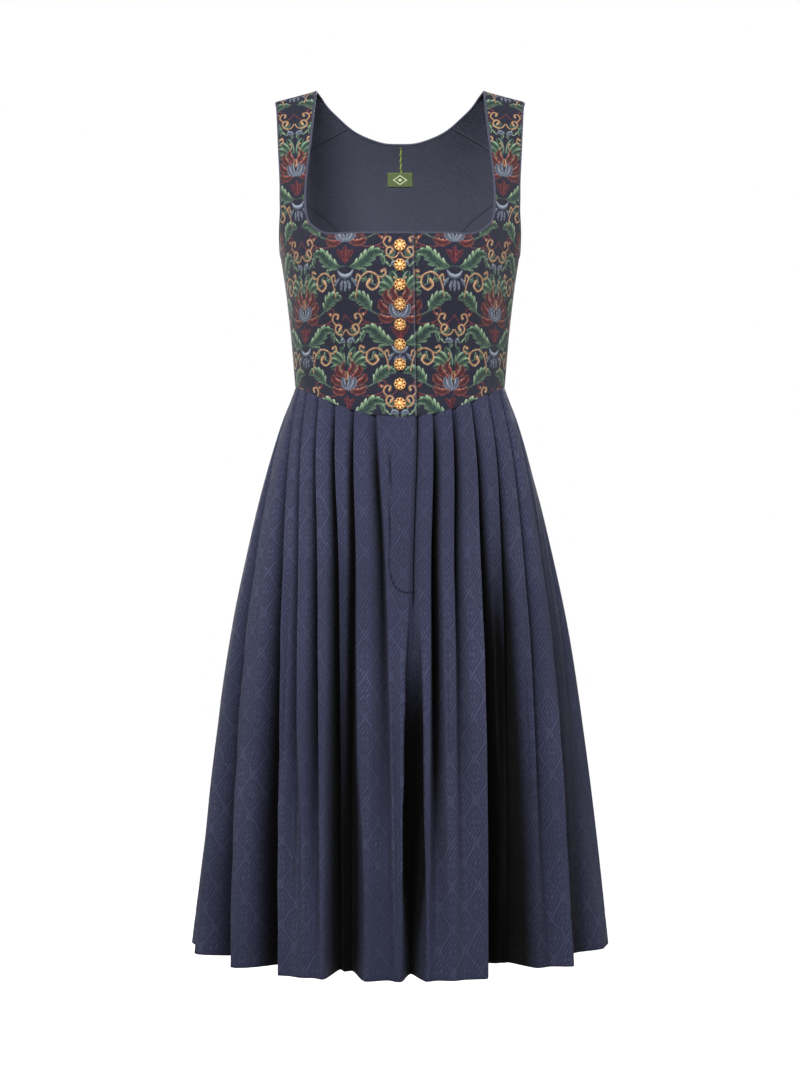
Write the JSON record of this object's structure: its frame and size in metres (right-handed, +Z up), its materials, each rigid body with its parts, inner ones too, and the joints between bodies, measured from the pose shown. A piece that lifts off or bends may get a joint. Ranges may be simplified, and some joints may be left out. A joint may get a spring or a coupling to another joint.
{
  "type": "dirndl dress",
  "caption": "Sleeveless square-necked dirndl dress: fitted printed bodice buttoned down the front over a pleated plain midi skirt.",
  "frame": {"origin": "where the shoulders carry the dress: midway between the tops of its two straps, on the shoulder ridge", "axes": "+Z up, the front looks to -Y, the wearer's left is +X"},
  "size_m": [0.5216, 0.451, 1.0657],
  "materials": {
    "printed_cotton": "matt brushed cotton printed with leaves, scrolls and flowers on dark blue",
    "jacquard_cotton": "fine dark blue cotton with a tone-on-tone woven ornament and a faint lustre",
    "piping": "plain blue-grey cotton cord piping",
    "gilt_metal": "pierced gilt metal, satin",
    "woven_tab": "matt olive woven ribbon with green stitching"
  },
  "bodies": {
    "root": {"front_right": "printed_cotton", "front_left": "printed_cotton", "back_centre": "printed_cotton", "back_side_right": "printed_cotton", "back_side_left": "printed_cotton", "skirt_front_left": "jacquard_cotton", "skirt_back": "jacquard_cotton", "skirt_front_right": "jacquard_cotton", "placket_underlap": "jacquard_cotton", "neck_piping": "piping", "armhole_piping_right": "piping", "armhole_piping_left": "piping", "button_1": "gilt_metal", "button_2": "gilt_metal", "button_3": "gilt_metal", "button_4": "gilt_metal", "button_5": "gilt_metal", "button_6": "gilt_metal", "button_7": "gilt_metal", "button_8": "gilt_metal", "button_9": "gilt_metal", "neck_tab": "woven_tab"}
  },
  "joints": []
}
